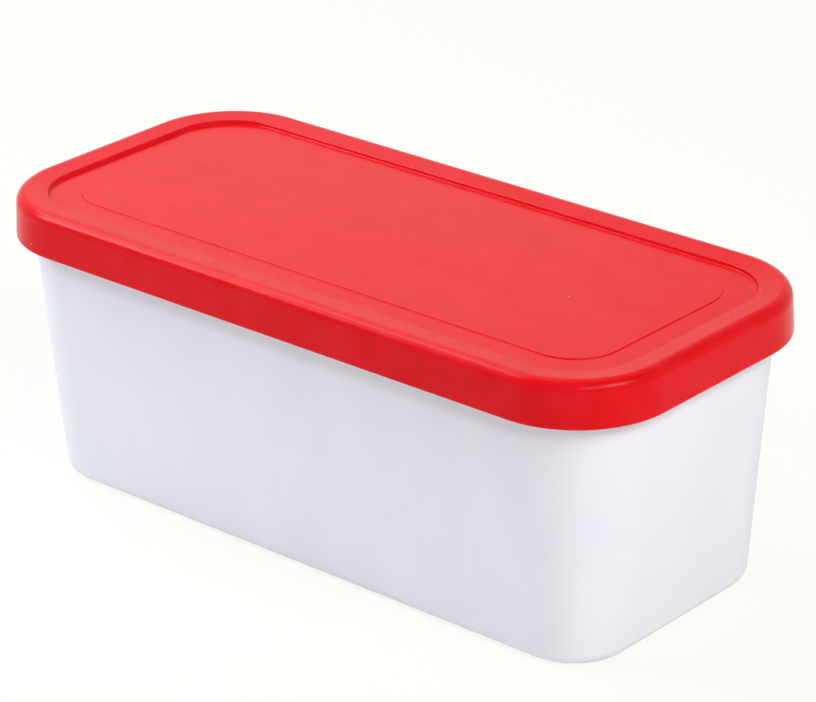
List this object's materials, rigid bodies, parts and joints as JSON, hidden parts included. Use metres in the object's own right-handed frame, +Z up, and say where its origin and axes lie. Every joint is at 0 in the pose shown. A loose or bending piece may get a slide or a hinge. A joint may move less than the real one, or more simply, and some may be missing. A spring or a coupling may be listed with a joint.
{
  "type": "lidded ice cream storage tub",
  "caption": "Long tapered white plastic tub with rounded corners and a soft red push-on lid, whose raised border frames a slightly raised middle panel.",
  "frame": {"origin": "centre of the face the tub stands on", "axes": "+X along the tub, +Y across it, +Z up through the lid"},
  "size_m": [0.24, 0.1102, 0.0919],
  "materials": {
    "lid_rubber": "satin red silicone rubber",
    "tub_plastic": "matte white moulded polypropylene"
  },
  "bodies": {
    "root": {"lid": "lid_rubber", "tub": "tub_plastic"}
  },
  "joints": []
}
